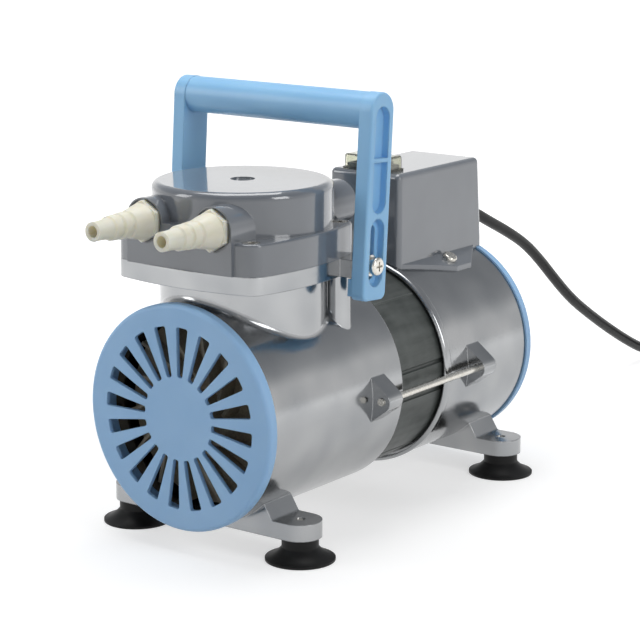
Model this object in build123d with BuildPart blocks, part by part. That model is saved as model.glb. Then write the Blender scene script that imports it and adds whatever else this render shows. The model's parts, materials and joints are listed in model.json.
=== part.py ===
"""Diaphragm vacuum pump with a shaft through both ends, a side-by-side pair of hose nozzles,
a sliding carry handle, a terminal box with a rocker switch, suction feet and a mains lead.

Millimetres.  +Z is up, -Y is the nozzle end, the floor under the suction feet is z = 0.
"""
import os
from math import acos, cos, degrees, radians, sin, sqrt, tan
from build123d import *

os.makedirs("parts", exist_ok=True)

# ------------------------------------------------------------------ driving dimensions
axis_height = 72.3             # pump axis above the floor
running_gap = 0.05             # radial clearance of a shaft in its bearing
seat_gap = 0.2                 # clearance of a piece lying on its seat

# barrel: front housing, stator and rear housing, end to end along Y
front_end_y = -100.65
front_length = 112.0
stator_gap_length = 41.9
rear_length = 84.0
barrel_radius = 59.0
barrel_wall = 5.0
stator_radius = 56.0
stator_length = 60.0
stator_bore = 28.5
weld_groove = 1.3
stator_seat_depth = 6.3
lip_radius = 59.6
lip_bore = 57.7
lip_length = 5.0
winding_length = 13.0
winding_inner = 33.0
winding_outer = 51.0

# grille covers
cover_radius = 60.0
cover_thickness = 6.0
cover_edge_round = 2.4
spigot_length = 4.0
spigot_wall = 3.0
slot_count = 20
slot_inner_radius = 22.0
slot_outer_radius = 48.5
slot_inner_width = 3.4
slot_outer_width = 7.8
slot_round = 1.3
slot_turn = 4.7
grille_thickness = 2.5

# bulkheads, shaft and bearings
bulkhead_thickness = 10.0
front_bulkhead_y = -24.0
rear_bulkhead_y = 90.0
vent_count = 6
vent_radius = 9.0
vent_circle = 36.0
bearing_radius = 15.0
bearing_width = 9.0
shaft_radius = 5.0
shaft_overhang = 3.0
rotor_gap = 0.5
fan_radius = 50.0
fan_depth = 13.0
fan_clearance = 3.0
fan_plate = 1.8
fan_hub_radius = 11.0
blade_count = 14
blade_thickness = 1.8
blade_lean = 24.0

# tie bolts and their lugs
tie_bolt_x = 64.7
tie_bolt_radius = 2.0
tie_head_radius = 3.5
tie_head_length = 4.0
lug_thickness = 12.0
lug_nose = 5.5
lug_slope = 37.0
lug_root_x = 50.0
front_lug_y = -16.75
rear_lug_y = 75.75

# feet
foot_x = 55.5
front_foot_y = -75.95
rear_foot_y = 117.85
cup_radius = 18.4
cup_rim = 1.2
cup_hollow = 3.0
foot_neck_radius = 9.7
foot_neck_z = 7.0
arm_bottom_z = 12.5
arm_top_z = 21.5
arm_radius = 11.5
arm_knee_x = 46.0
arm_root_x = 40.0
arm_root_z = 31.0
foot_screw_radius = 2.5
foot_screw_head = 4.5
foot_screw_head_length = 2.5

# head: neck, flange, cover
head_y = -51.65
neck_radius = 44.0
neck_fillet = 4.0
chamber_radius = 35.0
pilaster_radius = 6.5
flange_bottom_z = 141.0
flange_thickness = 9.5
tier_thickness = 16.5
outline_half_width = 45.2
outline_half_depth = 42.4
outline_bulge = 6.0
outline_shift = -5.4
outline_round = 9.0
dome_radius = 47.75
dome_height = 23.0
dome_round = 4.0
dimple_radius = 6.5
dimple_depth = 1.2
head_screw_x = 39.0
head_screw_spread = 37.0
head_screw_radius = 2.5
head_screw_head = 4.4
head_screw_sink = 4.5
boss_x = 22.4
boss_z = 173.0
boss_radius = 12.0
front_boss_y = -104.3
rear_boss_y = 2.25
port_radius = 4.0

# diaphragm, valve plate and connecting rod
stack_radius = 43.0
diaphragm_thickness = 1.5
valve_plate_thickness = 8.0
valve_dish_radius = 33.0
valve_dish_depth = 4.5
gasket_thickness = 1.0
plenum_radius = 40.0
plenum_web = 6.0
plenum_height = 20.0
valve_hole_radius = 2.0
valve_hole_circle = 5.5
valve_x = 20.0
reed_radius = 9.5
reed_thickness = 0.5
rivet_radius = 1.5
rivet_head = 2.6
rivet_head_height = 0.8
throw = 3.0
eccentric_radius = 12.0
eccentric_length = 17.0
rod_bearing_radius = 18.0
big_end_radius = 24.0
rod_thickness = 13.0
rod_web = 4.0
rod_waist = 18.0
lower_disc_radius = 26.0
lower_disc_thickness = 4.0
upper_disc_radius = 23.0
upper_disc_thickness = 2.2
clamp_screw_radius = 3.0
clamp_screw_head = 6.0
clamp_screw_length = 18.0
counterweight_radius = 30.0
counterweight_length = 7.0

# hose nozzles
nozzle_length = 38.95
nozzle_hex = 19.0
nozzle_hex_length = 2.6
nozzle_seat_depth = 1.5
nozzle_thread_radius = 8.0
nozzle_thread_length = 7.0
nozzle_cone_radius = 9.4
nozzle_neck_radius = 7.2
nozzle_cone_length = 10.5
nozzle_tip_radius = 5.0
nozzle_tip_length = 5.0
barb_count = 3
barb_height = 0.9
nozzle_bore = 3.0
o_ring_section = 1.5

# carry handle
handle_tilt = 4.18
handle_screw_y = -24.45
handle_screw_z = 147.0
handle_inner_x = 58.0
leg_thickness = 8.0
leg_width = 20.0
leg_below_screw = 18.1
grip_above_screw = 79.9
grip_radius = 9.75
leg_corner = 4.0
leg_edge_round = 1.2
pocket_width = 12.2
pocket_depth = 4.0
lower_pocket_low = -10.9
lower_pocket_high = 24.5
upper_pocket_low = 27.2
upper_pocket_high = 82.5
pocket_rib = 2.2
slide_slot_width = 6.2
slide_slot_inset = 3.4
pad_thickness = 3.0
pad_low = -16.2
pad_high = -7.2
handle_side_gap = 0.3
flange_pad_half_width = 9.0
handle_screw_radius = 2.5
handle_screw_head = 4.9
handle_screw_head_height = 3.0
handle_screw_length = 20.4
washer_radius = 5.6
washer_thickness = 1.0
spring_washer_radius = 4.4
spring_washer_thickness = 2.2
head_face_gap = 0.1

# terminal box, its contents and the switch
box_half_width = 24.0
box_front_y = 57.25
box_top_z = 180.0
box_wall = 2.5
box_corner = 3.2
box_top_round = 3.0
box_back_lean = 4.0
box_cover_gap = 0.2
skirt_thickness = 2.5
skirt_half_width = 35.0
skirt_front_y = 100.5
skirt_back_y = 115.0
skirt_corner_back = 134.0
skirt_screw_angle = 27.9
skirt_screw_y = 101.5
skirt_screw_radius = 2.0
skirt_screw_head = 4.2
skirt_screw_head_height = 2.4
skirt_screw_length = 7.0
capacitor_radius = 15.0
capacitor_length = 52.0
capacitor_start = 6.0
terminal_block_size = (26.0, 10.0, 14.0)
switch_x = 0.0
switch_y = 66.0
cap_base_length = 32.5
cap_base_width = 14.5
cap_base_thickness = 1.3
cap_length = 31.0
cap_width = 13.5
cap_height = 8.5
cap_wall = 1.0
cap_round = 1.6
bezel_length = 28.4
bezel_width = 11.0
bezel_thickness = 2.2
bezel_round = 1.2
switch_body_length = 26.0
switch_body_width = 10.0
switch_body_depth = 18.0
rocker_well_depth = 8.5
rocker_length = 22.0
rocker_width = 7.5
rocker_rise = 2.2
rocker_drop = 3.0
rocker_angle = 7.0
rocker_gap = 0.4

# mains lead
lead_x = -10.0
gland_z = 139.0
gland_flange_radius = 6.5
gland_flange_thickness = 2.5
gland_seat_depth = 1.3
gland_neck_radius = 5.0
gland_tip_radius = 4.3
gland_length = 22.7
cord_diameter = 6.8
coil_y = 478.0
coil_turns_across = 3
coil_turns_high = 2
coil_mean_radius = 37.4
coil_entry = 30.0
plug_lead = 42.0
plug_taper_length = 22.0
plug_body_length = 34.0
plug_body_width = 28.0
plug_corner = 6.0
pin_radius = 2.4
pin_length = 19.0
pin_spacing = 19.0

# ------------------------------------------------------------------ derived sizes
front_back_y = front_end_y + front_length
rear_front_y = front_back_y + stator_gap_length
rear_end_y = rear_front_y + rear_length
stator_start_y = front_back_y - stator_seat_depth
stator_end_y = stator_start_y + stator_length
inner_radius = barrel_radius - barrel_wall
flange_top_z = flange_bottom_z + flange_thickness
tier_top_z = flange_top_z + tier_thickness
dome_top_z = tier_top_z + dome_height
outline_y = head_y + outline_shift
diaphragm_top_z = flange_top_z + diaphragm_thickness
plate_top_z = diaphragm_top_z + valve_plate_thickness
dish_top_z = diaphragm_top_z + valve_dish_depth
gasket_top_z = plate_top_z + gasket_thickness
rod_axis_z = axis_height + throw
cord_radius = cord_diameter / 2
handle_outer_x = handle_inner_x + leg_thickness
pocket_floor_x = handle_outer_x - pocket_depth
flange_pad_x = handle_inner_x - handle_side_gap
handle_shoulder_x = pocket_floor_x + head_face_gap + washer_thickness + spring_washer_thickness
handle_screw_tip_x = handle_shoulder_x - handle_screw_length
box_back_y = rear_end_y + cover_thickness
box_inner_back_y = box_back_y - box_back_lean - box_wall

pump_axis = Axis((0, 0, axis_height), (0, 1, 0))


# ------------------------------------------------------------------ planes and shared shapes
def station(y):
    """A plane across the pump at y, facing the nozzle end; its centre is the pump axis."""
    return Plane(origin=(0, y, axis_height), x_dir=(1, 0, 0), z_dir=(0, -1, 0))


def radial(angle, y, radius):
    """A plane square to the barrel's radius at an angle from the top, towards +X."""
    lean = radians(angle)
    origin = (radius * sin(lean), y, axis_height + radius * cos(lean))
    return Plane(origin=origin, x_dir=(0, 1, 0), z_dir=(sin(lean), 0, cos(lean)))


def lengthwise():
    """The upright plane through the pump axis: local x is Y, local y is height above the axis."""
    return Plane(origin=(0, 0, axis_height), x_dir=(0, 1, 0), z_dir=(1, 0, 0))


def leg_plane(x):
    """The plane of a handle leg at x, centred on its screw, with local y up the tilted leg."""
    tilt = radians(handle_tilt)
    return Plane(origin=(x, handle_screw_y, handle_screw_z), x_dir=(0, cos(tilt), -sin(tilt)), z_dir=(1, 0, 0))


def ring_along_y(start_y, end_y, outer, inner, z=axis_height):
    """A plain ring about an axis along Y."""
    with BuildPart() as ring:
        with BuildSketch(Plane(origin=(0, end_y, z), x_dir=(1, 0, 0), z_dir=(0, -1, 0))):
            Circle(outer)
            Circle(inner, mode=Mode.SUBTRACT)
        extrude(amount=end_y - start_y)
    return ring.part


def foot_beam(y):
    """A cross beam under the barrel that carries two feet on its rounded ends."""
    end_x = foot_x + arm_radius
    with BuildPart() as beam:
        with BuildSketch(station(y + arm_radius)):
            with BuildLine():
                Polyline(
                    (-end_x, arm_bottom_z - axis_height),
                    (end_x, arm_bottom_z - axis_height),
                    (end_x, arm_top_z - axis_height),
                    (arm_knee_x, arm_top_z - axis_height),
                    (arm_root_x, arm_root_z - axis_height),
                    (-arm_root_x, arm_root_z - axis_height),
                    (-arm_knee_x, arm_top_z - axis_height),
                    (-end_x, arm_top_z - axis_height),
                    close=True,
                )
            make_face()
        extrude(amount=2 * arm_radius)
        ends = beam.edges().filter_by(Axis.Z).group_by(Axis.X)
        fillet(ends[0] + ends[-1], arm_radius - 0.05)
        tops = beam.faces().filter_by(Plane.XY).group_by(Axis.Z)[1]
        fillet(tops.edges().group_by(SortBy.LENGTH)[-1], 1.2)
        with Locations((foot_x, y, arm_bottom_z), (-foot_x, y, arm_bottom_z)):
            Cylinder(foot_screw_radius, arm_top_z - arm_bottom_z,
                     align=(Align.CENTER, Align.CENTER, Align.MIN), mode=Mode.SUBTRACT)
    return beam.part


def lug_pair(start_y):
    """The two tie-bolt lugs at the barrel's sides, as one slab that the barrel runs through."""
    slope = radians(lug_slope)
    nose_x = tie_bolt_x + lug_nose * sin(slope)
    nose_z = lug_nose * cos(slope)
    root_z = nose_z + (nose_x - lug_root_x) * tan(slope)
    with BuildPart() as lugs:
        with BuildSketch(station(start_y + lug_thickness)):
            for side in (1, -1):
                with BuildLine():
                    Polyline(
                        (side * lug_root_x, root_z),
                        (side * nose_x, nose_z),
                        (side * nose_x, -nose_z),
                        (side * lug_root_x, -root_z),
                        close=True,
                    )
                make_face()
                with Locations((side * tie_bolt_x, 0)):
                    Circle(lug_nose)
        extrude(amount=lug_thickness)
    return lugs.part


def arched_square(z):
    """The head's outline at height z: a square with arched sides and rounded corners."""
    half_x = outline_half_width
    half_y = outline_half_depth
    corners = [(half_x, half_y), (-half_x, half_y), (-half_x, -half_y), (half_x, -half_y)]
    middles = [(0, half_y + outline_bulge), (-half_x - outline_bulge, 0)]
    middles += [(0, -half_y - outline_bulge), (half_x + outline_bulge, 0)]
    with BuildSketch(Plane(origin=(0, outline_y, z))) as outline:
        with BuildLine():
            for i in range(4):
                ThreePointArc(corners[i], middles[i], corners[(i + 1) % 4])
        make_face()
        fillet(outline.vertices(), outline_round)
    return outline.sketch


def head_corners():
    """The four head screws' places."""
    rear_y = outline_y + head_screw_spread
    front_y = outline_y - head_screw_spread
    return [(head_screw_x, rear_y), (-head_screw_x, rear_y), (-head_screw_x, front_y), (head_screw_x, front_y)]


def bulkhead(start_y, opens_to_rear):
    """A motor end wall with air windows and a blind seat for its bearing."""
    with BuildPart() as wall:
        with BuildSketch(station(start_y + bulkhead_thickness)):
            Circle(inner_radius + barrel_wall / 4)
            with PolarLocations(vent_circle, vent_count, start_angle=180 / vent_count):
                Circle(vent_radius, mode=Mode.SUBTRACT)
            Circle(shaft_radius + 2, mode=Mode.SUBTRACT)
        extrude(amount=bulkhead_thickness)
        seat_y = start_y + bulkhead_thickness
        if not opens_to_rear:
            seat_y = start_y + bearing_width
        with BuildSketch(station(seat_y)):
            Circle(bearing_radius)
        extrude(amount=bearing_width, mode=Mode.SUBTRACT)
    return wall.part


# ------------------------------------------------------------------ front housing
with BuildPart() as front_housing:
    with BuildSketch(station(front_back_y)):
        Circle(barrel_radius)
    extrude(amount=front_length)
    with BuildSketch(Plane.XY.offset(axis_height)):
        with Locations((0, head_y)):
            Circle(neck_radius)
    extrude(amount=flange_bottom_z - axis_height)
    root = front_housing.edges().filter_by(GeomType.BSPLINE)
    fillet(root, neck_fillet)
    with BuildSketch(Plane.XY.offset(axis_height)):
        with Locations(*head_corners()[:2]):
            Circle(pilaster_radius)
    extrude(amount=flange_bottom_z - axis_height)
    add(arched_square(flange_bottom_z))
    extrude(amount=flange_thickness)
    with BuildSketch(Plane.XY.offset(flange_bottom_z)):
        with Locations((0, handle_screw_y)):
            Rectangle(2 * flange_pad_x, 2 * flange_pad_half_width)
    extrude(amount=flange_thickness)
    add(lug_pair(front_lug_y))
    add(foot_beam(front_foot_y))
    with BuildSketch(station(front_bulkhead_y)):
        Circle(inner_radius)
    extrude(amount=front_bulkhead_y - front_end_y, mode=Mode.SUBTRACT)
    with BuildSketch(station(front_back_y)):
        Circle(inner_radius)
    extrude(amount=front_back_y - front_bulkhead_y, mode=Mode.SUBTRACT)
    with BuildSketch(station(front_back_y)):
        Circle(stator_radius)
    extrude(amount=stator_seat_depth, mode=Mode.SUBTRACT)
    with BuildSketch(Plane.XY.offset(flange_top_z)):
        with Locations((0, head_y)):
            Circle(chamber_radius)
    extrude(amount=axis_height - flange_top_z, mode=Mode.SUBTRACT)
    add(bulkhead(front_bulkhead_y, True))
    with BuildSketch(station(front_lug_y + lug_thickness)):
        with Locations((tie_bolt_x, 0), (-tie_bolt_x, 0)):
            Circle(tie_bolt_radius)
    extrude(amount=lug_thickness, mode=Mode.SUBTRACT)
    with BuildSketch(Plane.XY.offset(flange_bottom_z)):
        with Locations(*head_corners()):
            Circle(head_screw_radius)
    extrude(amount=flange_thickness, mode=Mode.SUBTRACT)
    for side in (1, -1):
        with BuildSketch(Plane(origin=(side * flange_pad_x, handle_screw_y, handle_screw_z),
                               x_dir=(0, 1, 0), z_dir=(side, 0, 0))):
            Circle(handle_screw_radius)
        extrude(amount=handle_screw_tip_x - flange_pad_x, mode=Mode.SUBTRACT)
front_housing.part.label = "front_housing"
export_step(front_housing.part, "parts/front_housing.step")

# ------------------------------------------------------------------ rear housing
with BuildPart() as rear_housing:
    with BuildSketch(station(rear_end_y)):
        Circle(barrel_radius)
    extrude(amount=rear_length)
    with BuildSketch(station(rear_front_y + lip_length)):
        Circle(lip_radius)
    extrude(amount=lip_length)
    fillet(rear_housing.edges().group_by(Axis.Y)[0], 2.0)
    add(lug_pair(rear_lug_y))
    add(foot_beam(rear_foot_y))
    with BuildSketch(station(rear_end_y)):
        Circle(inner_radius)
    extrude(amount=rear_length, mode=Mode.SUBTRACT)
    with BuildSketch(station(stator_end_y)):
        Circle(stator_radius)
    extrude(amount=stator_end_y - rear_front_y, mode=Mode.SUBTRACT)
    with BuildSketch(station(rear_front_y + lip_length)):
        Circle(lip_bore)
    extrude(amount=lip_length, mode=Mode.SUBTRACT)
    add(bulkhead(rear_bulkhead_y, False))
    with BuildSketch(station(rear_lug_y + lug_thickness)):
        with Locations((tie_bolt_x, 0), (-tie_bolt_x, 0)):
            Circle(tie_bolt_radius)
    extrude(amount=lug_thickness, mode=Mode.SUBTRACT)
    with BuildSketch(station(rear_lug_y + lug_thickness)):
        with Locations((tie_bolt_x, 0), (-tie_bolt_x, 0)):
            Circle(tie_head_radius)
    extrude(amount=tie_head_length, mode=Mode.SUBTRACT)
    for side in (1, -1):
        with BuildSketch(radial(side * skirt_screw_angle, skirt_screw_y, barrel_radius + skirt_thickness)):
            Circle(skirt_screw_radius)
        extrude(amount=-skirt_screw_length, mode=Mode.SUBTRACT)
rear_housing.part.label = "rear_housing"
export_step(rear_housing.part, "parts/rear_housing.step")

# ------------------------------------------------------------------ grille covers
with BuildSketch() as grille_slot:
    with BuildLine():
        Polyline(
            (slot_inner_radius, -slot_inner_width / 2),
            (slot_outer_radius, -slot_outer_width / 2),
            (slot_outer_radius, slot_outer_width / 2),
            (slot_inner_radius, slot_inner_width / 2),
            close=True,
        )
    make_face()
    fillet(grille_slot.vertices(), slot_round)


def grille_cover(outer_y, facing):
    """A cup-shaped slotted end cover; facing is -1 for the nozzle end and 1 for the far end."""
    inner_y = outer_y - facing * cover_thickness
    spigot_y = inner_y - facing * spigot_length
    plate_y = outer_y - facing * grille_thickness
    with BuildPart() as cover:
        with BuildSketch(station(max(outer_y, inner_y))):
            Circle(cover_radius)
        extrude(amount=cover_thickness)
        ends = cover.edges().group_by(Axis.Y)
        fillet(ends[0 if facing < 0 else -1], cover_edge_round)
        with BuildSketch(station(max(inner_y, spigot_y))):
            Circle(inner_radius - seat_gap)
        extrude(amount=spigot_length)
        with BuildSketch(station(max(plate_y, spigot_y))):
            Circle(inner_radius - seat_gap - spigot_wall)
        extrude(amount=abs(plate_y - spigot_y), mode=Mode.SUBTRACT)
        with BuildSketch(station(max(outer_y, plate_y))):
            with PolarLocations(0, slot_count, start_angle=90 + 180 / slot_count + slot_turn):
                add(grille_slot.sketch)
        extrude(amount=grille_thickness, mode=Mode.SUBTRACT)
    return cover.part


with BuildPart() as front_cover:
    add(grille_cover(front_end_y - cover_thickness, -1))
front_cover.part.label = "front_cover"
export_step(front_cover.part, "parts/front_cover.step")

with BuildPart() as rear_cover:
    add(grille_cover(rear_end_y + cover_thickness, 1))
rear_cover.part.label = "rear_cover"
export_step(rear_cover.part, "parts/rear_cover.step")

# ------------------------------------------------------------------ stator and windings
with BuildPart() as stator_core:
    with BuildSketch(station(stator_end_y)):
        Circle(stator_radius)
        Circle(stator_bore, mode=Mode.SUBTRACT)
        for angle in (8, 82, 98, 172, 188, 262, 278, 352):
            with Locations((stator_radius * cos(radians(angle)), stator_radius * sin(radians(angle)))):
                Circle(weld_groove, mode=Mode.SUBTRACT)
    extrude(amount=stator_length)
stator_core.part.label = "stator_core"
export_step(stator_core.part, "parts/stator_core.step")

with BuildPart() as stator_windings:
    for start_y in (stator_start_y - winding_length, stator_end_y):
        with BuildSketch(lengthwise()) as coil_section:
            with Locations((start_y + winding_length / 2, (winding_inner + winding_outer) / 2)):
                RectangleRounded(winding_length, winding_outer - winding_inner, winding_length / 3)
        revolve(axis=pump_axis)
stator_windings.part.label = "stator_windings"
export_step(stator_windings.part, "parts/stator_windings.step")

# ------------------------------------------------------------------ bearings
front_seat_y = front_bulkhead_y + bulkhead_thickness - bearing_width
with BuildPart() as front_bearing:
    add(ring_along_y(front_seat_y, front_seat_y + bearing_width, bearing_radius, shaft_radius + running_gap))
front_bearing.part.label = "front_bearing"
export_step(front_bearing.part, "parts/front_bearing.step")

with BuildPart() as rear_bearing:
    add(ring_along_y(rear_bulkhead_y, rear_bulkhead_y + bearing_width, bearing_radius, shaft_radius + running_gap))
rear_bearing.part.label = "rear_bearing"
export_step(rear_bearing.part, "parts/rear_bearing.step")

# ------------------------------------------------------------------ tie bolts
with BuildPart() as tie_bolts:
    head_seat_y = rear_lug_y + lug_thickness - tie_head_length
    with BuildSketch(station(head_seat_y)):
        with Locations((tie_bolt_x, 0), (-tie_bolt_x, 0)):
            Circle(tie_bolt_radius)
    extrude(amount=head_seat_y - front_lug_y + 1)
    with BuildSketch(station(head_seat_y + tie_head_length)):
        with Locations((tie_bolt_x, 0), (-tie_bolt_x, 0)):
            Circle(tie_head_radius)
    extrude(amount=tie_head_length)
    with BuildSketch(station(head_seat_y + tie_head_length)):
        with Locations((tie_bolt_x, 0), (-tie_bolt_x, 0)):
            RegularPolygon(tie_bolt_radius * 0.75, 6)
    extrude(amount=tie_head_length / 2, mode=Mode.SUBTRACT)
tie_bolts.part.label = "tie_bolts"
export_step(tie_bolts.part, "parts/tie_bolts.step")

# ------------------------------------------------------------------ head cover
with BuildPart() as head_cover:
    add(arched_square(flange_top_z))
    extrude(amount=tier_thickness)
    fillet(head_cover.edges().group_by(Axis.Z)[-1], 1.2)
    with BuildSketch(station(front_boss_y)):
        with Locations((0, (flange_top_z + boss_z) / 2 - axis_height)):
            Rectangle(2 * outline_half_width, boss_z - flange_top_z)
    extrude(amount=outline_bulge, mode=Mode.SUBTRACT)
    with BuildSketch(Plane.XY.offset(tier_top_z)):
        with Locations((0, head_y)):
            Circle(dome_radius)
    extrude(amount=dome_height)
    fillet(head_cover.edges().group_by(Axis.Z)[-1], dome_round)
    with BuildSketch(Plane.XY.offset(dome_top_z)):
        with Locations((0, head_y)):
            Circle(dimple_radius)
    extrude(amount=-dimple_depth, mode=Mode.SUBTRACT)
    with BuildSketch(station(head_y)):
        with Locations((0, (flange_top_z + boss_z) / 2 - axis_height)):
            Rectangle(2 * (boss_x + boss_radius), boss_z - flange_top_z)
        with Locations((boss_x, boss_z - axis_height), (-boss_x, boss_z - axis_height)):
            Circle(boss_radius)
    extrude(amount=head_y - front_boss_y)
    with BuildSketch(station(rear_boss_y)):
        with Locations((boss_x, boss_z - axis_height), (-boss_x, boss_z - axis_height)):
            Circle(boss_radius)
    extrude(amount=rear_boss_y - head_y)
    with BuildSketch(Plane.XY.offset(flange_top_z)):
        with Locations((0, head_y)):
            Circle(stack_radius + seat_gap)
    extrude(amount=gasket_top_z - flange_top_z, mode=Mode.SUBTRACT)
    with BuildSketch(Plane.XY.offset(gasket_top_z)):
        with Locations((0, head_y)):
            Circle(plenum_radius)
            Rectangle(plenum_web, 2 * plenum_radius, mode=Mode.SUBTRACT)
    extrude(amount=plenum_height, mode=Mode.SUBTRACT)
    with BuildSketch(station(head_y)):
        with Locations((boss_x, boss_z - axis_height), (-boss_x, boss_z - axis_height)):
            Circle(port_radius)
    extrude(amount=head_y - front_boss_y, mode=Mode.SUBTRACT)
    with BuildSketch(station(front_boss_y + nozzle_seat_depth + nozzle_thread_length)):
        with Locations((boss_x, boss_z - axis_height), (-boss_x, boss_z - axis_height)):
            Circle(nozzle_thread_radius)
    extrude(amount=nozzle_thread_length + nozzle_seat_depth, mode=Mode.SUBTRACT)
    with BuildSketch(station(front_boss_y + nozzle_seat_depth)):
        with Locations((boss_x, boss_z - axis_height), (-boss_x, boss_z - axis_height)):
            Circle(nozzle_hex / sqrt(3) + seat_gap)
    extrude(amount=nozzle_seat_depth, mode=Mode.SUBTRACT)
    with BuildSketch(Plane.XY.offset(flange_top_z)):
        with Locations(*head_corners()):
            Circle(head_screw_radius)
    extrude(amount=tier_thickness, mode=Mode.SUBTRACT)
    with BuildSketch(Plane.XY.offset(tier_top_z - head_screw_sink)):
        with Locations(*head_corners()):
            Circle(head_screw_head + seat_gap)
    extrude(amount=head_screw_sink, mode=Mode.SUBTRACT)
head_cover.part.label = "head_cover"
export_step(head_cover.part, "parts/head_cover.step")

with BuildPart() as head_screws:
    with BuildSketch(Plane.XY.offset(flange_bottom_z)):
        with Locations(*head_corners()):
            Circle(head_screw_radius)
    extrude(amount=tier_top_z - head_screw_sink - flange_bottom_z)
    with BuildSketch(Plane.XY.offset(tier_top_z - head_screw_sink)):
        with Locations(*head_corners()):
            Circle(head_screw_head)
    extrude(amount=head_screw_sink)
    with BuildSketch(Plane.XY.offset(tier_top_z)):
        with Locations(*head_corners()):
            RegularPolygon(head_screw_head / 2, 6)
    extrude(amount=-head_screw_sink / 2, mode=Mode.SUBTRACT)
head_screws.part.label = "head_screws"
export_step(head_screws.part, "parts/head_screws.step")

# ------------------------------------------------------------------ diaphragm stack
with BuildPart() as diaphragm:
    with BuildSketch(Plane.XY.offset(flange_top_z)):
        with Locations((0, head_y)):
            Circle(stack_radius)
            Circle(clamp_screw_radius, mode=Mode.SUBTRACT)
    extrude(amount=diaphragm_thickness)
diaphragm.part.label = "diaphragm"
export_step(diaphragm.part, "parts/diaphragm.step")

with BuildPart() as valve_plate:
    with BuildSketch(Plane.XY.offset(diaphragm_top_z)):
        with Locations((0, head_y)):
            Circle(stack_radius)
    extrude(amount=valve_plate_thickness)
    with BuildSketch(Plane.XY.offset(diaphragm_top_z)):
        with Locations((0, head_y)):
            Circle(valve_dish_radius)
    extrude(amount=valve_dish_depth, mode=Mode.SUBTRACT)
    for side in (1, -1):
        with BuildSketch(Plane(origin=(side * valve_x, head_y, diaphragm_top_z))):
            with PolarLocations(valve_hole_circle, 4):
                Circle(valve_hole_radius)
            Circle(rivet_radius)
        extrude(amount=valve_plate_thickness, mode=Mode.SUBTRACT)
valve_plate.part.label = "valve_plate"
export_step(valve_plate.part, "parts/valve_plate.step")

with BuildPart() as head_gasket:
    with BuildSketch(Plane.XY.offset(plate_top_z)):
        with Locations((0, head_y)):
            Circle(stack_radius)
            Circle(plenum_radius, mode=Mode.SUBTRACT)
            Rectangle(plenum_web, 2 * plenum_radius)
    extrude(amount=gasket_thickness)
head_gasket.part.label = "head_gasket"
export_step(head_gasket.part, "parts/head_gasket.step")


def reed(x, z):
    """A round valve reed with a hole for its rivet."""
    with BuildPart() as disc:
        with BuildSketch(Plane(origin=(x, head_y, z))):
            Circle(reed_radius)
            Circle(rivet_radius, mode=Mode.SUBTRACT)
        extrude(amount=reed_thickness)
    return disc.part


with BuildPart() as inlet_reed:
    add(reed(-valve_x, dish_top_z - reed_thickness))
inlet_reed.part.label = "inlet_reed"
export_step(inlet_reed.part, "parts/inlet_reed.step")

with BuildPart() as outlet_reed:
    add(reed(valve_x, plate_top_z))
outlet_reed.part.label = "outlet_reed"
export_step(outlet_reed.part, "parts/outlet_reed.step")

with BuildPart() as reed_rivets:
    for x, low_z, high_z in (
        (-valve_x, dish_top_z - reed_thickness, plate_top_z),
        (valve_x, dish_top_z, plate_top_z + reed_thickness),
    ):
        with BuildSketch(Plane(origin=(x, head_y, low_z))):
            Circle(rivet_radius)
        extrude(amount=high_z - low_z)
        with BuildSketch(Plane(origin=(x, head_y, high_z))):
            Circle(rivet_head)
        extrude(amount=rivet_head_height)
        with BuildSketch(Plane(origin=(x, head_y, low_z))):
            Circle(rivet_head)
        extrude(amount=-rivet_head_height)
reed_rivets.part.label = "reed_rivets"
export_step(reed_rivets.part, "parts/reed_rivets.step")

# ------------------------------------------------------------------ hose nozzles
nozzle_seat_y = front_boss_y + nozzle_seat_depth
nozzle_tip_y = front_boss_y - nozzle_length


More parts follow.
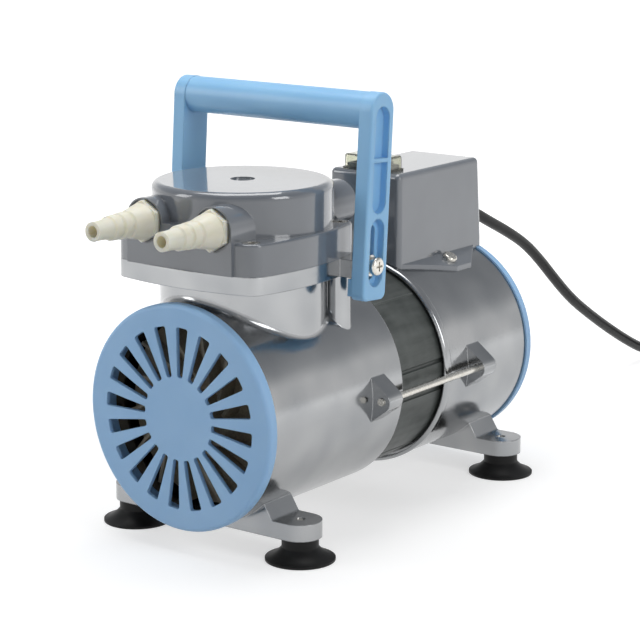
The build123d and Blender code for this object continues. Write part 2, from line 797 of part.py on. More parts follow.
def hose_nozzle(x):
    """A moulded hose nozzle: spigot, hexagon, cone and three soft barbs down to a plain tip."""
    axis = Axis((x, 0, boss_z), (0, 1, 0))
    section = Plane(origin=(x, 0, boss_z), x_dir=(0, 1, 0), z_dir=(1, 0, 0))
    hex_front_y = nozzle_seat_y - nozzle_seat_depth - nozzle_hex_length
    cone_end_y = hex_front_y - nozzle_cone_length
    barbs_end_y = nozzle_tip_y + nozzle_tip_length
    pitch = (cone_end_y - barbs_end_y) / barb_count
    taper = (nozzle_neck_radius - nozzle_tip_radius - barb_height) / barb_count
    outline = [(nozzle_seat_y + nozzle_thread_length, 0)]
    outline += [(nozzle_seat_y + nozzle_thread_length, nozzle_thread_radius)]
    outline += [(nozzle_seat_y, nozzle_thread_radius)]
    outline += [(hex_front_y, nozzle_thread_radius), (hex_front_y, nozzle_cone_radius)]
    outline += [(cone_end_y, nozzle_neck_radius)]
    for i in range(barb_count):
        start_y = cone_end_y - i * pitch
        root = nozzle_neck_radius - barb_height - i * taper
        outline += [(start_y - pitch * 0.12, root)]
        if i < barb_count - 1:
            outline += [(start_y - pitch * 0.3, root), (start_y - pitch * 0.45, root + barb_height - taper / 2)]
            outline += [(start_y - pitch, root - taper + barb_height)]
    outline += [(barbs_end_y, nozzle_tip_radius), (nozzle_tip_y, nozzle_tip_radius), (nozzle_tip_y, 0)]
    with BuildPart() as nozzle:
        with BuildSketch(section):
            with BuildLine():
                Polyline(*outline, close=True)
            make_face()
        revolve(axis=axis)
        hex_plane = Plane(origin=(x, nozzle_seat_y, boss_z), x_dir=(1, 0, 0), z_dir=(0, -1, 0))
        with BuildSketch(hex_plane):
            RegularPolygon(nozzle_hex / 2, 6, major_radius=False, rotation=30)
        extrude(amount=nozzle_seat_depth + nozzle_hex_length)
        with BuildSketch(hex_plane.offset(-nozzle_thread_length)):
            Circle(nozzle_bore)
        extrude(amount=nozzle_length + nozzle_seat_depth + nozzle_thread_length, mode=Mode.SUBTRACT)
        with BuildSketch(section):
            with Locations((nozzle_seat_y + o_ring_section, nozzle_thread_radius)):
                Rectangle(o_ring_section + seat_gap, 2 * o_ring_section + seat_gap)
        revolve(axis=axis, mode=Mode.SUBTRACT)
    return nozzle.part


with BuildPart() as inlet_nozzle:
    add(hose_nozzle(-boss_x))
inlet_nozzle.part.label = "inlet_nozzle"
export_step(inlet_nozzle.part, "parts/inlet_nozzle.step")

with BuildPart() as outlet_nozzle:
    add(hose_nozzle(boss_x))
outlet_nozzle.part.label = "outlet_nozzle"
export_step(outlet_nozzle.part, "parts/outlet_nozzle.step")

with BuildPart() as nozzle_o_rings:
    for x in (-boss_x, boss_x):
        with BuildSketch(Plane(origin=(x, 0, boss_z), x_dir=(0, 1, 0), z_dir=(1, 0, 0))):
            with Locations((nozzle_seat_y + o_ring_section, nozzle_thread_radius - o_ring_section / 2)):
                Circle(o_ring_section / 2)
        revolve(axis=Axis((x, 0, boss_z), (0, 1, 0)))
nozzle_o_rings.part.label = "nozzle_o_rings"
export_step(nozzle_o_rings.part, "parts/nozzle_o_rings.step")

# ------------------------------------------------------------------ shaft, rotor and fans
front_fan_y = front_end_y + spigot_length + fan_clearance
rear_fan_y = rear_end_y - spigot_length - fan_clearance - fan_depth
shaft_front_y = front_fan_y - shaft_overhang / 2
shaft_rear_y = rear_fan_y + fan_depth + shaft_overhang / 2

with BuildPart() as motor_shaft:
    with BuildSketch(station(shaft_rear_y)):
        Circle(shaft_radius)
    extrude(amount=shaft_rear_y - shaft_front_y)
    chamfer(motor_shaft.edges(), 0.8)
motor_shaft.part.label = "motor_shaft"
export_step(motor_shaft.part, "parts/motor_shaft.step")

with BuildPart() as rotor_core:
    add(ring_along_y(stator_start_y, stator_end_y, stator_bore - rotor_gap, shaft_radius))
rotor_core.part.label = "rotor_core"
export_step(rotor_core.part, "parts/rotor_core.step")


def cooling_fan(start_y, plate_at_start):
    """A radial fan: a back plate, a hub and leaning flat blades."""
    plate_y = start_y + fan_plate if plate_at_start else start_y + fan_depth
    blade_mid = (fan_radius + fan_hub_radius) / 2
    with BuildPart() as fan:
        with BuildSketch(station(start_y + fan_depth)):
            Circle(fan_hub_radius)
            with PolarLocations(blade_mid + 2, blade_count):
                Rectangle(fan_radius - fan_hub_radius - 6, blade_thickness, rotation=blade_lean)
        extrude(amount=fan_depth)
        with BuildSketch(station(plate_y)):
            Circle(fan_radius)
        extrude(amount=fan_plate)
        with BuildSketch(station(start_y + fan_depth)):
            Circle(shaft_radius)
        extrude(amount=fan_depth, mode=Mode.SUBTRACT)
    return fan.part


with BuildPart() as front_fan:
    add(cooling_fan(front_fan_y, False))
front_fan.part.label = "front_fan"
export_step(front_fan.part, "parts/front_fan.step")

with BuildPart() as rear_fan:
    add(cooling_fan(rear_fan_y, True))
rear_fan.part.label = "rear_fan"
export_step(rear_fan.part, "parts/rear_fan.step")

# ------------------------------------------------------------------ eccentric and counterweight
eccentric_start_y = head_y - eccentric_length / 2
with BuildPart() as eccentric:
    with BuildSketch(station(head_y + eccentric_length / 2)):
        with Locations((0, throw)):
            Circle(eccentric_radius)
        Circle(shaft_radius, mode=Mode.SUBTRACT)
    extrude(amount=eccentric_length)
eccentric.part.label = "eccentric"
export_step(eccentric.part, "parts/eccentric.step")

with BuildPart() as counterweight:
    with BuildSketch(station(head_y + eccentric_length / 2 + counterweight_length)):
        Circle(counterweight_radius)
        with Locations((0, counterweight_radius / 2)):
            Rectangle(2 * counterweight_radius, counterweight_radius, mode=Mode.SUBTRACT)
        Circle(eccentric_radius)
        Circle(shaft_radius, mode=Mode.SUBTRACT)
    extrude(amount=counterweight_length)
counterweight.part.label = "counterweight"
export_step(counterweight.part, "parts/counterweight.step")

# ------------------------------------------------------------------ connecting rod
rod_start_y = head_y - rod_thickness / 2
rod_end_y = head_y + rod_thickness / 2
lower_disc_z = flange_top_z - lower_disc_thickness
with BuildPart() as rod_bearing:
    add(ring_along_y(rod_start_y, rod_end_y, rod_bearing_radius, eccentric_radius + running_gap, rod_axis_z))
rod_bearing.part.label = "rod_bearing"
export_step(rod_bearing.part, "parts/rod_bearing.step")

with BuildPart() as connecting_rod:
    shank_low = rod_axis_z - axis_height + big_end_radius * 0.7
    shank_high = lower_disc_z - axis_height
    with BuildSketch(station(rod_end_y)):
        with Locations((0, rod_axis_z - axis_height)):
            Circle(big_end_radius)
        with BuildLine():
            Polyline(
                (-rod_waist * 0.8, shank_low),
                (rod_waist * 0.8, shank_low),
                (rod_waist / 2, shank_high),
                (-rod_waist / 2, shank_high),
                close=True,
            )
        make_face()
        with Locations((0, rod_axis_z - axis_height)):
            Circle(rod_bearing_radius, mode=Mode.SUBTRACT)
    extrude(amount=rod_thickness)
    web_low = rod_axis_z - axis_height + big_end_radius + 3
    web_high = lower_disc_z - axis_height - clamp_screw_length
    for face_y, direction in ((rod_start_y, -1), (rod_end_y, 1)):
        with BuildSketch(station(face_y)):
            with Locations((0, (web_low + web_high) / 2)):
                Rectangle(rod_waist * 0.55, web_high - web_low)
        extrude(amount=direction * (rod_thickness - rod_web) / 2, mode=Mode.SUBTRACT)
    with BuildSketch(Plane(origin=(0, head_y, lower_disc_z))):
        Circle(clamp_screw_radius)
    extrude(amount=-clamp_screw_length, mode=Mode.SUBTRACT)
connecting_rod.part.label = "connecting_rod"
export_step(connecting_rod.part, "parts/connecting_rod.step")

with BuildPart() as lower_clamp_disc:
    with BuildSketch(Plane(origin=(0, head_y, lower_disc_z))):
        Circle(lower_disc_radius)
        Circle(clamp_screw_radius, mode=Mode.SUBTRACT)
    extrude(amount=lower_disc_thickness)
    fillet(lower_clamp_disc.edges().group_by(SortBy.LENGTH)[-1], 1.0)
lower_clamp_disc.part.label = "lower_clamp_disc"
export_step(lower_clamp_disc.part, "parts/lower_clamp_disc.step")

with BuildPart() as upper_clamp_disc:
    with BuildSketch(Plane(origin=(0, head_y, diaphragm_top_z))):
        Circle(upper_disc_radius)
    extrude(amount=upper_disc_thickness)
    with BuildSketch(Plane(origin=(0, head_y, diaphragm_top_z))):
        Circle(clamp_screw_radius)
    extrude(amount=upper_disc_thickness, mode=Mode.SUBTRACT)
    with BuildSketch(Plane(origin=(0, head_y, diaphragm_top_z + upper_disc_thickness / 3))):
        Circle(clamp_screw_head)
    extrude(amount=upper_disc_thickness, mode=Mode.SUBTRACT)
upper_clamp_disc.part.label = "upper_clamp_disc"
export_step(upper_clamp_disc.part, "parts/upper_clamp_disc.step")

with BuildPart() as clamp_screw:
    with BuildSketch(Plane(origin=(0, head_y, diaphragm_top_z + upper_disc_thickness / 3))):
        Circle(clamp_screw_radius)
    extrude(amount=-clamp_screw_length - lower_disc_thickness)
    with BuildSketch(Plane(origin=(0, head_y, diaphragm_top_z + upper_disc_thickness / 3))):
        Circle(clamp_screw_head)
    extrude(amount=upper_disc_thickness * 2 / 3)
clamp_screw.part.label = "clamp_screw"
export_step(clamp_screw.part, "parts/clamp_screw.step")


# ------------------------------------------------------------------ suction feet
def suction_foot(x, y):
    """A rubber suction foot: a short neck that flares to a thin rim round a shallow hollow."""
    rim_x = cup_radius - cup_rim
    flare_mid = (foot_neck_radius + (cup_radius - foot_neck_radius) * 0.35,
                 cup_rim + (foot_neck_z - cup_rim) * 0.48)
    with BuildPart() as foot:
        with BuildSketch(Plane(origin=(x, y, 0), x_dir=(1, 0, 0), z_dir=(0, -1, 0))):
            with BuildLine():
                Polyline((0, cup_hollow), (0, arm_bottom_z), (foot_neck_radius, arm_bottom_z),
                         (foot_neck_radius, foot_neck_z))
                ThreePointArc((foot_neck_radius, foot_neck_z), flare_mid, (cup_radius, cup_rim))
                Polyline((cup_radius, cup_rim), (cup_radius, 0), (rim_x, 0))
                TangentArc((0, cup_hollow), (rim_x, 0), tangent=(1, 0))
            make_face()
        revolve(axis=Axis((x, y, 0), (0, 0, 1)))
        with BuildSketch(Plane(origin=(x, y, arm_bottom_z))):
            Circle(foot_screw_radius)
        extrude(amount=foot_neck_z - arm_bottom_z, mode=Mode.SUBTRACT)
        with BuildSketch(Plane(origin=(x, y, foot_neck_z))):
            Circle(foot_screw_head)
        extrude(amount=foot_screw_head_length, mode=Mode.SUBTRACT)
    return foot.part


with BuildPart() as front_left_foot:
    add(suction_foot(-foot_x, front_foot_y))
front_left_foot.part.label = "front_left_foot"
export_step(front_left_foot.part, "parts/front_left_foot.step")

with BuildPart() as front_right_foot:
    add(suction_foot(foot_x, front_foot_y))
front_right_foot.part.label = "front_right_foot"
export_step(front_right_foot.part, "parts/front_right_foot.step")

with BuildPart() as rear_left_foot:
    add(suction_foot(-foot_x, rear_foot_y))
rear_left_foot.part.label = "rear_left_foot"
export_step(rear_left_foot.part, "parts/rear_left_foot.step")

with BuildPart() as rear_right_foot:
    add(suction_foot(foot_x, rear_foot_y))
rear_right_foot.part.label = "rear_right_foot"
export_step(rear_right_foot.part, "parts/rear_right_foot.step")

with BuildPart() as foot_screws:
    for y in (front_foot_y, rear_foot_y):
        with BuildSketch(Plane.XY.offset(foot_neck_z)):
            with Locations((foot_x, y), (-foot_x, y)):
                Circle(foot_screw_radius)
        extrude(amount=arm_top_z - foot_neck_z - 0.6)
        with BuildSketch(Plane.XY.offset(foot_neck_z)):
            with Locations((foot_x, y), (-foot_x, y)):
                Circle(foot_screw_head)
        extrude(amount=foot_screw_head_length)
foot_screws.part.label = "foot_screws"
export_step(foot_screws.part, "parts/foot_screws.step")


# ------------------------------------------------------------------ carry handle
def obround(low, high, width):
    """An upright slot outline between two heights of a leg's own plane."""
    with BuildSketch() as outline:
        with Locations((0, (low + high) / 2)):
            SlotOverall(high - low, width, rotation=90)
    return outline.sketch


def handle_leg(side):
    """One leg of the handle, with its outer pockets, slide slot and inner stop pad."""
    inner = leg_plane(side * handle_inner_x)
    pocket_floor = leg_plane(side * pocket_floor_x)
    with BuildPart() as leg:
        with BuildSketch(inner) as leg_outline:
            with Locations((0, (grip_above_screw - leg_below_screw) / 2)):
                Rectangle(leg_width, grip_above_screw + leg_below_screw)
            fillet(leg_outline.vertices().group_by(Axis.Y)[0], leg_corner)
            with Locations((0, grip_above_screw)):
                Circle(leg_width / 2)
        extrude(amount=side * leg_thickness)
        outer_face = leg.faces().sort_by(Axis.X)[-1 if side > 0 else 0]
        fillet(outer_face.edges(), leg_edge_round)
        with BuildSketch(inner):
            with Locations((0, (pad_low + pad_high) / 2)):
                Rectangle(leg_width - 2 * leg_edge_round, pad_high - pad_low)
        extrude(amount=-side * pad_thickness)
        with BuildSketch(pocket_floor):
            add(obround(lower_pocket_low, lower_pocket_high, pocket_width))
            add(obround(upper_pocket_low, upper_pocket_high, pocket_width))
            with Locations((0, (upper_pocket_low + upper_pocket_high) / 2)):
                Rectangle(pocket_width, pocket_rib, mode=Mode.SUBTRACT)
        extrude(amount=side * pocket_depth, mode=Mode.SUBTRACT)
        with BuildSketch(inner):
            add(obround(lower_pocket_low + slide_slot_inset, lower_pocket_high - slide_slot_inset,
                        slide_slot_width))
        extrude(amount=side * leg_thickness, mode=Mode.SUBTRACT)
    return leg.part


with BuildPart() as carry_handle:
    add(handle_leg(1))
    add(handle_leg(-1))
    with BuildSketch(leg_plane(-handle_inner_x)):
        with Locations((0, grip_above_screw)):
            Circle(grip_radius)
    extrude(amount=2 * handle_inner_x)
carry_handle.part.label = "carry_handle"
export_step(carry_handle.part, "parts/carry_handle.step")

with BuildPart() as handle_screws:
    for side in (1, -1):
        seat = Plane(origin=(side * handle_shoulder_x, handle_screw_y, handle_screw_z),
                     x_dir=(0, 1, 0), z_dir=(side, 0, 0))
        with BuildSketch(seat):
            Circle(handle_screw_radius)
        extrude(amount=-handle_screw_length)
        with BuildSketch(seat):
            Circle(handle_screw_head)
        extrude(amount=handle_screw_head_height)
        fillet(handle_screws.edges().group_by(Axis.X)[-1 if side > 0 else 0], 1.6)
        with BuildSketch(seat.offset(handle_screw_head_height)):
            Rectangle(5.2, 1.0)
            Rectangle(1.0, 5.2)
        extrude(amount=-1.5, mode=Mode.SUBTRACT)
handle_screws.part.label = "handle_screws"
export_step(handle_screws.part, "parts/handle_screws.step")

with BuildPart() as handle_washers:
    for side in (1, -1):
        seat_x = pocket_floor_x + head_face_gap
        with BuildSketch(Plane(origin=(side * seat_x, handle_screw_y, handle_screw_z),
                               x_dir=(0, 1, 0), z_dir=(side, 0, 0))):
            Circle(washer_radius)
            Circle(handle_screw_radius, mode=Mode.SUBTRACT)
        extrude(amount=washer_thickness)
        with BuildSketch(Plane(origin=(side * (seat_x + washer_thickness), handle_screw_y, handle_screw_z),
                               x_dir=(0, 1, 0), z_dir=(side, 0, 0))):
            Circle(spring_washer_radius)
            Circle(handle_screw_radius, mode=Mode.SUBTRACT)
        extrude(amount=spring_washer_thickness)
handle_washers.part.label = "handle_washers"
export_step(handle_washers.part, "parts/handle_washers.step")

# ------------------------------------------------------------------ terminal box
box_mid_y = (box_front_y + box_back_y) / 2
box_length = box_back_y - box_front_y
box_inner_front_y = box_front_y + box_wall
box_inner_length = box_inner_back_y - box_inner_front_y


def box_skirt():
    """The thin flange round the box's foot that hugs the barrel."""
    front_y = box_front_y + box_corner
    with BuildPart() as skirt:
        with BuildSketch(Plane.XY.offset(axis_height)):
            with BuildLine():
                Polyline(
                    (box_half_width, front_y),
                    (skirt_half_width, skirt_front_y),
                    (skirt_half_width, skirt_back_y),
                    (box_half_width, skirt_corner_back),
                    (-box_half_width, skirt_corner_back),
                    (-skirt_half_width, skirt_back_y),
                    (-skirt_half_width, skirt_front_y),
                    (-box_half_width, front_y),
                    close=True,
                )
            make_face()
        extrude(amount=barrel_radius + skirt_thickness)
        with BuildSketch(station(box_back_y)):
            Circle(barrel_radius + skirt_thickness)
        extrude(amount=box_length, mode=Mode.INTERSECT)
    return skirt.part


with BuildPart() as terminal_box:
    with BuildSketch(Plane(origin=(-box_half_width, 0, 0), x_dir=(0, 1, 0), z_dir=(1, 0, 0))):
        with BuildLine():
            Polyline(
                (box_front_y, axis_height),
                (box_back_y, axis_height),
                (box_back_y, axis_height + cover_radius),
                (box_back_y - box_back_lean, box_top_z),
                (box_front_y, box_top_z),
                close=True,
            )
        make_face()
    extrude(amount=2 * box_half_width)
    fillet(terminal_box.edges().filter_by(lambda edge: abs((edge % 0.5).Z) > 0.9), box_corner)
    fillet(terminal_box.edges().group_by(Axis.Z)[-1], box_top_round)
    add(box_skirt())
    with BuildSketch(Plane.XY.offset(axis_height)):
        with Locations((0, (box_inner_front_y + box_inner_back_y) / 2)):
            RectangleRounded(2 * (box_half_width - box_wall), box_inner_length, box_corner / 2)
    extrude(amount=box_top_z - box_wall - axis_height, mode=Mode.SUBTRACT)
    with BuildSketch(station(box_back_y)):
        Circle(barrel_radius)
    extrude(amount=box_length, mode=Mode.SUBTRACT)
    with BuildSketch(station(box_back_y)):
        Circle(cover_radius + box_cover_gap)
    extrude(amount=cover_thickness, mode=Mode.SUBTRACT)
    with BuildSketch(station(rear_front_y + lip_length)):
        Circle(lip_radius)
    extrude(amount=lip_length, mode=Mode.SUBTRACT)
    with BuildSketch(Plane.XY.offset(box_top_z)):
        with Locations((switch_x, switch_y)):
            RectangleRounded(switch_body_length, switch_body_width, 1)
    extrude(amount=-box_wall, mode=Mode.SUBTRACT)
    with BuildSketch(Plane(origin=(lead_x, box_back_y, gland_z), x_dir=(1, 0, 0), z_dir=(0, -1, 0))):
        Circle(gland_neck_radius)
    extrude(amount=box_back_y - box_inner_back_y, mode=Mode.SUBTRACT)
    with BuildSketch(Plane(origin=(lead_x, box_back_y, gland_z), x_dir=(1, 0, 0), z_dir=(0, -1, 0))):
        Circle(gland_flange_radius)
    extrude(amount=gland_seat_depth, mode=Mode.SUBTRACT)
    for side in (1, -1):
        with BuildSketch(radial(side * skirt_screw_angle, skirt_screw_y, barrel_radius + skirt_thickness)):
            Circle(skirt_screw_radius)
        extrude(amount=-skirt_screw_length, mode=Mode.SUBTRACT)
terminal_box.part.label = "terminal_box"
export_step(terminal_box.part, "parts/terminal_box.step")

with BuildPart() as terminal_box_screws:
    for side in (1, -1):
        seat = radial(side * skirt_screw_angle, skirt_screw_y, barrel_radius + skirt_thickness)
        with BuildSketch(seat):
            Circle(skirt_screw_radius)
        extrude(amount=-skirt_screw_length)
        with BuildSketch(seat):
            Circle(skirt_screw_head)
        extrude(amount=skirt_screw_head_height)
        fillet(terminal_box_screws.faces().filter_by(GeomType.PLANE).sort_by(Axis(seat.origin, seat.z_dir))[-1].edges(),
               1.2)
terminal_box_screws.part.label = "terminal_box_screws"
export_step(terminal_box_screws.part, "parts/terminal_box_screws.step")

capacitor_z = axis_height + barrel_radius + capacitor_radius + seat_gap
with BuildPart() as run_capacitor:
    capacitor_back_y = box_inner_back_y - capacitor_start
    with BuildSketch(Plane(origin=(0, capacitor_back_y, capacitor_z), x_dir=(1, 0, 0), z_dir=(0, -1, 0))):
        Circle(capacitor_radius)
    extrude(amount=capacitor_length)
    fillet(run_capacitor.edges(), 1.5)
run_capacitor.part.label = "run_capacitor"
export_step(run_capacitor.part, "parts/run_capacitor.step")

with BuildPart() as terminal_block:
    block_x, block_y, block_z = terminal_block_size
    block_top_z = box_top_z - box_wall
    with BuildSketch(Plane.XY.offset(block_top_z)):
        with Locations((0, box_mid_y + block_y)):
            Rectangle(block_x, block_y)
    extrude(amount=-block_z)
    with BuildSketch(Plane.XY.offset(block_top_z - block_z)):
        with Locations((0, box_mid_y + block_y)):
            with GridLocations(block_x / 4, 1, 4, 1):
                Circle(1.8)
    extrude(amount=block_z / 2, mode=Mode.SUBTRACT)
terminal_block.part.label = "terminal_block"
export_step(terminal_block.part, "parts/terminal_block.step")

# ------------------------------------------------------------------ rocker switch
cap_floor_z = box_top_z + cap_base_thickness
cap_top_z = box_top_z + cap_height
bezel_top_z = cap_floor_z + bezel_thickness
rocker_axis_z = bezel_top_z - rocker_drop / 2
with BuildPart() as switch_housing:
    with BuildSketch(Plane.XY.offset(cap_floor_z)):
        with Locations((switch_x, switch_y)):
            RectangleRounded(bezel_length, bezel_width, bezel_round)
    extrude(amount=bezel_thickness)
    fillet(switch_housing.edges().group_by(Axis.Z)[-1], 0.6)
    with BuildSketch(Plane.XY.offset(cap_floor_z)):
        with Locations((switch_x, switch_y)):
            RectangleRounded(switch_body_length, switch_body_width, 1)
    extrude(amount=-switch_body_depth)
    with BuildSketch(Plane.XY.offset(bezel_top_z)):
        with Locations((switch_x, switch_y)):
            Rectangle(rocker_length + 3 * rocker_gap, rocker_width + 2 * rocker_gap)
    extrude(amount=-rocker_well_depth, mode=Mode.SUBTRACT)
switch_housing.part.label = "switch_housing"
export_step(switch_housing.part, "parts/switch_housing.step")

with BuildPart() as switch_rocker:
    half = rocker_length / 2
    tilt = radians(rocker_angle)
    rocker_plane = Plane(
        origin=(switch_x, switch_y + rocker_width / 2, rocker_axis_z),
        x_dir=(cos(tilt), 0, sin(tilt)),
        z_dir=(0, -1, 0),
    )
    with BuildSketch(rocker_plane):
        with BuildLine():
            Line((-half, rocker_rise), (-half, -rocker_drop / 2))
            ThreePointArc((-half, -rocker_drop / 2), (0, -2 * rocker_drop), (half, -rocker_drop / 2))
            Line((half, -rocker_drop / 2), (half, rocker_rise))
            ThreePointArc((half, rocker_rise), (0, rocker_rise * 0.55), (-half, rocker_rise))
        make_face()
    extrude(amount=rocker_width)
switch_rocker.part.label = "switch_rocker"
export_step(switch_rocker.part, "parts/switch_rocker.step")

with BuildPart() as switch_cover:
    with BuildSketch(Plane.XY.offset(box_top_z)):
        with Locations((switch_x, switch_y)):
            RectangleRounded(cap_base_length, cap_base_width, bezel_round)
    extrude(amount=cap_base_thickness)
    with BuildSketch(Plane.XY.offset(cap_floor_z)):
        with Locations((switch_x, switch_y)):
            RectangleRounded(cap_length, cap_width, cap_round)
    extrude(amount=cap_top_z - cap_floor_z)
    fillet(switch_cover.edges().group_by(Axis.Z)[-1], cap_round - 0.1)
    with BuildSketch(Plane.XY.offset(cap_floor_z)):
        with Locations((switch_x, switch_y)):
            RectangleRounded(cap_length - 2 * cap_wall, cap_width - 2 * cap_wall, cap_round - cap_wall)
    extrude(amount=cap_top_z - cap_wall - cap_floor_z, mode=Mode.SUBTRACT)
    with BuildSketch(Plane.XY.offset(box_top_z)):
        with Locations((switch_x, switch_y)):
            RectangleRounded(switch_body_length, switch_body_width, 1)
    extrude(amount=cap_base_thickness, mode=Mode.SUBTRACT)
switch_cover.part.label = "switch_cover"
export_step(switch_cover.part, "parts/switch_cover.step")

# ------------------------------------------------------------------ mains lead
gland_axis = Axis((lead_x, 0, gland_z), (0, 1, 0))
with BuildPart() as cable_gland:
    with BuildSketch(Plane(origin=(lead_x, box_back_y, gland_z), x_dir=(0, 1, 0), z_dir=(1, 0, 0))):
        with BuildLine():
            Polyline(
                (box_inner_back_y - box_back_y, 0),
                (box_inner_back_y - box_back_y, gland_neck_radius),
                (-gland_seat_depth, gland_neck_radius),
                (-gland_seat_depth, gland_flange_radius),
                (gland_flange_thickness - gland_seat_depth, gland_flange_radius),
                (gland_flange_thickness - gland_seat_depth, gland_neck_radius),
                (gland_length, gland_tip_radius),
                (gland_length, 0),
                close=True,
            )
        make_face()
    revolve(axis=gland_axis)
cable_gland.part.label = "cable_gland"
export_step(cable_gland.part, "parts/cable_gland.step")

coil_outer = coil_mean_radius + cord_diameter * coil_turns_across / 2
coil_inner = coil_mean_radius - cord_diameter * coil_turns_across / 2
coil_center_x = lead_x + coil_outer - cord_radius
coil_height = cord_diameter * coil_turns_high
lead_end_y = coil_y - coil_entry

cord_route = [
    (lead_x, box_back_y + gland_length, gland_z),
    (lead_x, 176.0, gland_z),
    (lead_x + 0.4, 188.0, 136.6),
    (lead_x + 0.9, 200.0, 130.6),
    (lead_x + 1.4, 222.0, 120.6),
    (lead_x + 1.5, 244.0, 109.5),
    (lead_x + 1.2, 263.5, 96.0),
    (lead_x + 0.6, 285.0, 78.8),
    (lead_x, 307.5, 62.0),
    (lead_x - 0.5, 331.5, 47.8),
    (lead_x - 0.8, 358.0, 33.2),
    (lead_x - 0.6, 385.0, 19.2),
    (lead_x - 0.2, 409.5, 7.9),
    (lead_x, 429.0, cord_radius),
    (lead_x, lead_end_y, cord_radius),
]


def route_radii(route):
    """The largest arc that fits at each inner point of a route of straight runs."""
    radii = []
    for before, here, after in zip(route, route[1:], route[2:]):
        run_in = Vector(*here) - Vector(*before)
        run_out = Vector(*after) - Vector(*here)
        half_turn = radians(run_in.get_angle(run_out)) / 2
        radii.append(0.45 * min(run_in.length, run_out.length) / tan(half_turn))
    return radii


cord_radii = route_radii(cord_route)
print("cord radii", [round(radius, 1) for radius in cord_radii])
with BuildPart() as power_cord:
    with BuildLine():
        cord_path = FilletPolyline(*cord_route, radius=cord_radii)
    with BuildSketch(Plane(origin=cord_path @ 0, z_dir=cord_path % 0)):
        Circle(cord_radius)
    sweep(path=cord_path)
power_cord.part.label = "power_cord"
export_step(power_cord.part, "parts/power_cord.step")
print("cord length", round(cord_path.length, 1), "volume", round(power_cord.part.volume, 1),
      "section times length", round(3.14159265 * cord_radius ** 2 * cord_path.length, 1))

with BuildPart() as cord_coil:
    with BuildSketch(Plane.XY) as coil_ring:
        with Locations((coil_center_x, coil_y)):
            Circle(coil_outer)
            Circle(coil_inner, mode=Mode.SUBTRACT)
    extrude(amount=coil_height)
    fillet(cord_coil.edges(), cord_radius * 0.9)
    with BuildSketch(Plane(origin=(lead_x, coil_y, cord_radius), x_dir=(1, 0, 0), z_dir=(0, -1, 0))):
        Circle(cord_radius)
    extrude(amount=coil_entry)
    with BuildSketch(Plane(origin=(coil_center_x + coil_outer - cord_radius, coil_y, coil_height - cord_radius),
                           x_dir=(1, 0, 0), z_dir=(0, -1, 0))):
        Circle(cord_radius)
    extrude(amount=plug_lead)
cord_coil.part.label = "cord_coil"
export_step(cord_coil.part, "parts/cord_coil.step")

plug_x = coil_center_x + coil_outer - cord_radius
plug_z = coil_height - cord_radius
plug_start_y = coil_y - plug_lead
plug_face_y = plug_start_y - plug_taper_length - plug_body_length
with BuildPart() as mains_plug:
    with BuildSketch(Plane(origin=(plug_x, 0, plug_z), x_dir=(0, 1, 0), z_dir=(1, 0, 0))):
        with BuildLine():
            Polyline(
                (plug_start_y, 0),
                (plug_start_y, cord_radius + 0.8),
                (plug_start_y - plug_taper_length - 2, cord_radius + 3),
                (plug_start_y - plug_taper_length - 2, 0),
                close=True,
            )
        make_face()
    revolve(axis=Axis((plug_x, 0, plug_z), (0, 1, 0)))
    with BuildSketch(Plane(origin=(plug_x, plug_face_y + plug_body_length, plug_z),
                           x_dir=(1, 0, 0), z_dir=(0, -1, 0))):
        RectangleRounded(plug_body_width, 2 * plug_z, plug_corner)
    extrude(amount=plug_body_length)
    fillet(mains_plug.edges().group_by(Axis.Y)[0], 2.0)
    for side in (1, -1):
        with BuildSketch(Plane(origin=(plug_x + side * pin_spacing / 2, plug_face_y, plug_z),
                               x_dir=(1, 0, 0), z_dir=(0, -1, 0))):
            Circle(pin_radius)
        extrude(amount=-pin_length / 2, mode=Mode.SUBTRACT)
mains_plug.part.label = "mains_plug"
export_step(mains_plug.part, "parts/mains_plug.step")

with BuildPart() as plug_pins:
    for side in (1, -1):
        with BuildSketch(Plane(origin=(plug_x + side * pin_spacing / 2, plug_face_y + pin_length / 2, plug_z),
                               x_dir=(1, 0, 0), z_dir=(0, -1, 0))):
            Circle(pin_radius)
        extrude(amount=pin_length * 1.5)
plug_pins.part.label = "plug_pins"
export_step(plug_pins.part, "parts/plug_pins.step")
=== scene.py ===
"""Looks of the diaphragm vacuum pump: polished castings, grey stove enamel, blue covers and handle,
and the mains lead."""
import json
import math

import bpy
from mathutils import Matrix, Vector


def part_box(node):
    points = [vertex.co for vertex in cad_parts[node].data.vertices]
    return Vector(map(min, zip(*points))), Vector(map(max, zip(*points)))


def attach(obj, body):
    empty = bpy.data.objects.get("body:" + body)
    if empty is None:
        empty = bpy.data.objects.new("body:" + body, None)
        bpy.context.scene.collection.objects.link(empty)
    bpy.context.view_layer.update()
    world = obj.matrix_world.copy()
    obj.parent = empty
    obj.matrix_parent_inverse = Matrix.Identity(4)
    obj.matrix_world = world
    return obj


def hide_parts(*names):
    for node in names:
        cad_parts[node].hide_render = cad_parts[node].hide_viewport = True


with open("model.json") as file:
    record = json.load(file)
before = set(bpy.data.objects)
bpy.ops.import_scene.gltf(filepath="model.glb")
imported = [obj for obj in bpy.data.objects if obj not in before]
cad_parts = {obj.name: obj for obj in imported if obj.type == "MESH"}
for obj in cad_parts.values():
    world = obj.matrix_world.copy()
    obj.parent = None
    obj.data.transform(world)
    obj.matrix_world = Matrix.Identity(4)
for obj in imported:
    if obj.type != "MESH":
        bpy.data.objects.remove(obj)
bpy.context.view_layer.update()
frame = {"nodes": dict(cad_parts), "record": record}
nodes = frame["nodes"]

